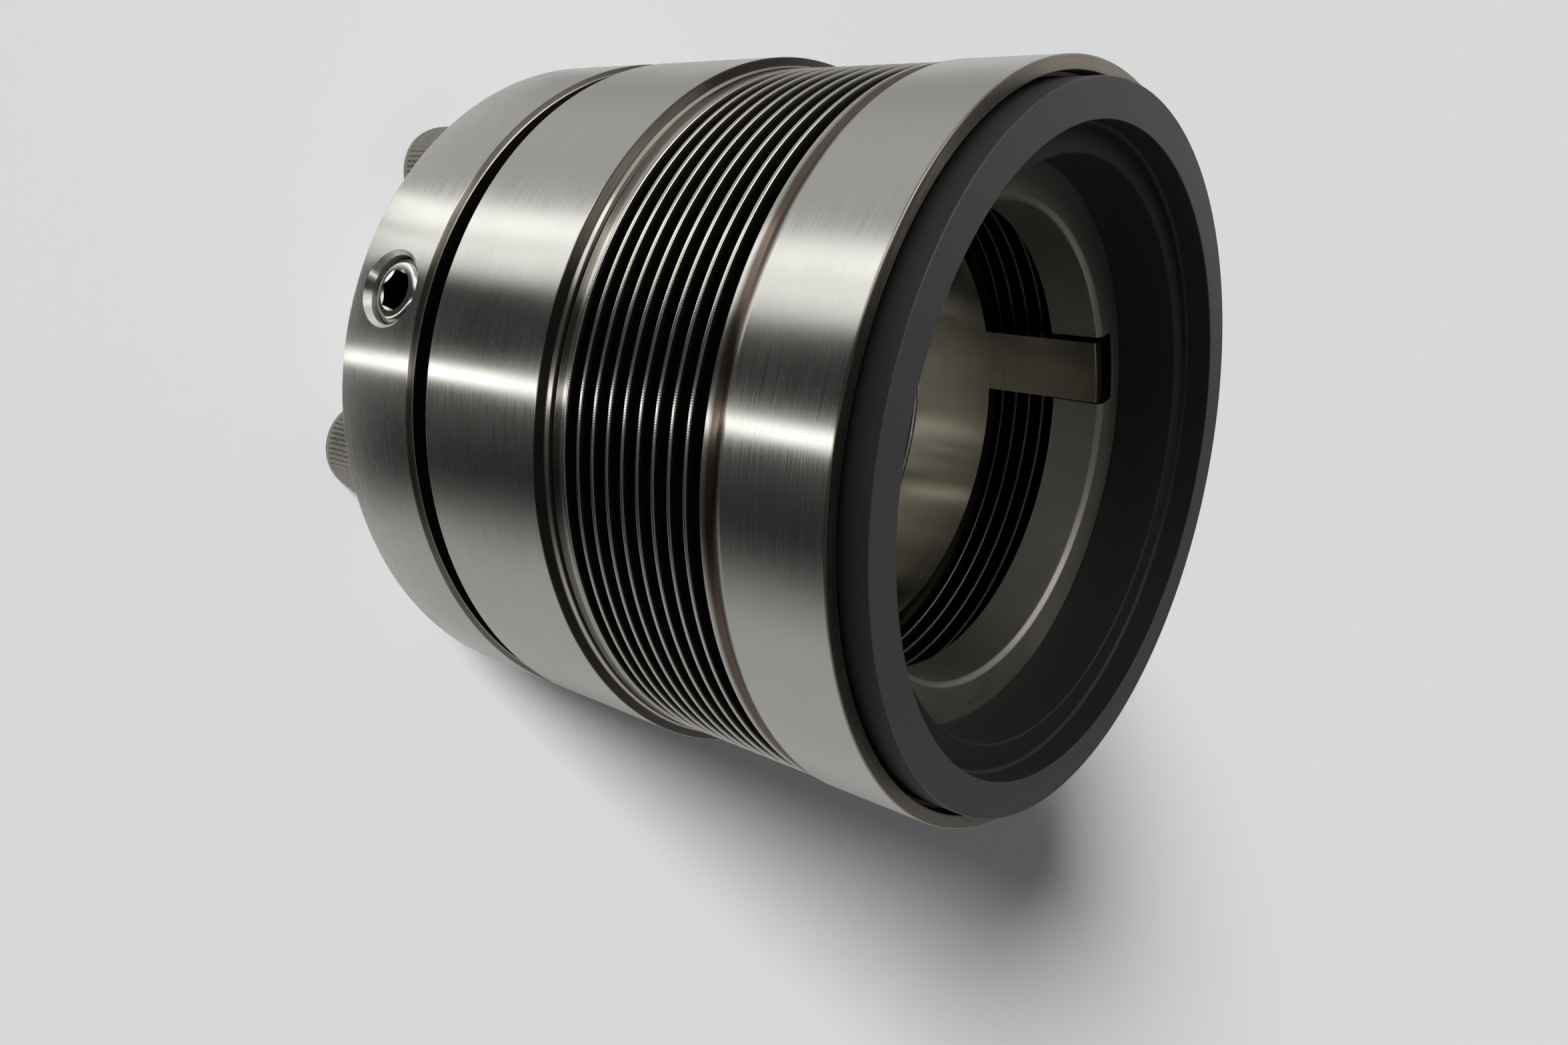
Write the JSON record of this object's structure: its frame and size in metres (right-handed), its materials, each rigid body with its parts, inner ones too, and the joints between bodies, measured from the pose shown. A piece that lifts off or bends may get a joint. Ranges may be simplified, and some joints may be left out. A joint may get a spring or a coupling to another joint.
{
  "type": "component mechanical seal",
  "caption": "Rotating shaft seal: a lapped seal ring in a steel shell on an edge-welded metal bellows, with a drive sleeve, a packed rear adapter and a clamp collar.",
  "frame": {"origin": "on the shaft axis, in the plane that the cap screw heads stand on", "axes": "+Z along the shaft axis towards the seal face, +X through the middle of the first cap screw"},
  "size_m": [0.0616, 0.0616, 0.0588],
  "materials": {
    "stainless_steel": "fine turned",
    "bellows_steel": "welded edges",
    "screw_steel": "plain",
    "seal_ring_carbon": "lapped matt",
    "graphite_packing": "matt"
  },
  "bodies": {
    "clamp_collar": {"clamp_collar": "stainless_steel", "packing_ring": "graphite_packing", "cap_screw_1": "screw_steel", "cap_screw_2": "screw_steel", "cap_screw_3": "screw_steel", "cap_screw_4": "screw_steel", "cap_screw_5": "screw_steel", "cap_screw_6": "screw_steel"},
    "rear_adapter": {"rear_adapter": "stainless_steel", "drive_sleeve": "stainless_steel", "bellows": "bellows_steel"},
    "face_shell": {"face_shell": "stainless_steel", "seal_ring": "seal_ring_carbon"},
    "set_screw_1": {"set_screw_1": "screw_steel"},
    "set_screw_2": {"set_screw_2": "screw_steel"},
    "set_screw_3": {"set_screw_3": "screw_steel"}
  },
  "joints": [
    {"name": "gland_travel", "type": "slide", "parent": "clamp_collar", "child": "rear_adapter", "axis": [0, 0, -1], "range_m": [0, 0.0018], "deforming": ["packing_ring"]},
    {"name": "bellows_travel", "type": "slide", "parent": "rear_adapter", "child": "face_shell", "axis": [0, 0, -1], "range_m": [0, 0.003], "stiffness_N_per_m": 25000, "deforming": ["bellows"]},
    {"name": "set_screw_1_travel", "type": "slide", "parent": "clamp_collar", "child": "set_screw_1", "axis": [0, 1, 0], "range_m": [-0.002, 0.00095]},
    {"name": "set_screw_2_travel", "type": "slide", "parent": "clamp_collar", "child": "set_screw_2", "axis": [-0.866, -0.5, 0], "range_m": [-0.002, 0.00095]},
    {"name": "set_screw_3_travel", "type": "slide", "parent": "clamp_collar", "child": "set_screw_3", "axis": [0.866, -0.5, 0], "range_m": [-0.002, 0.00095]}
  ]
}
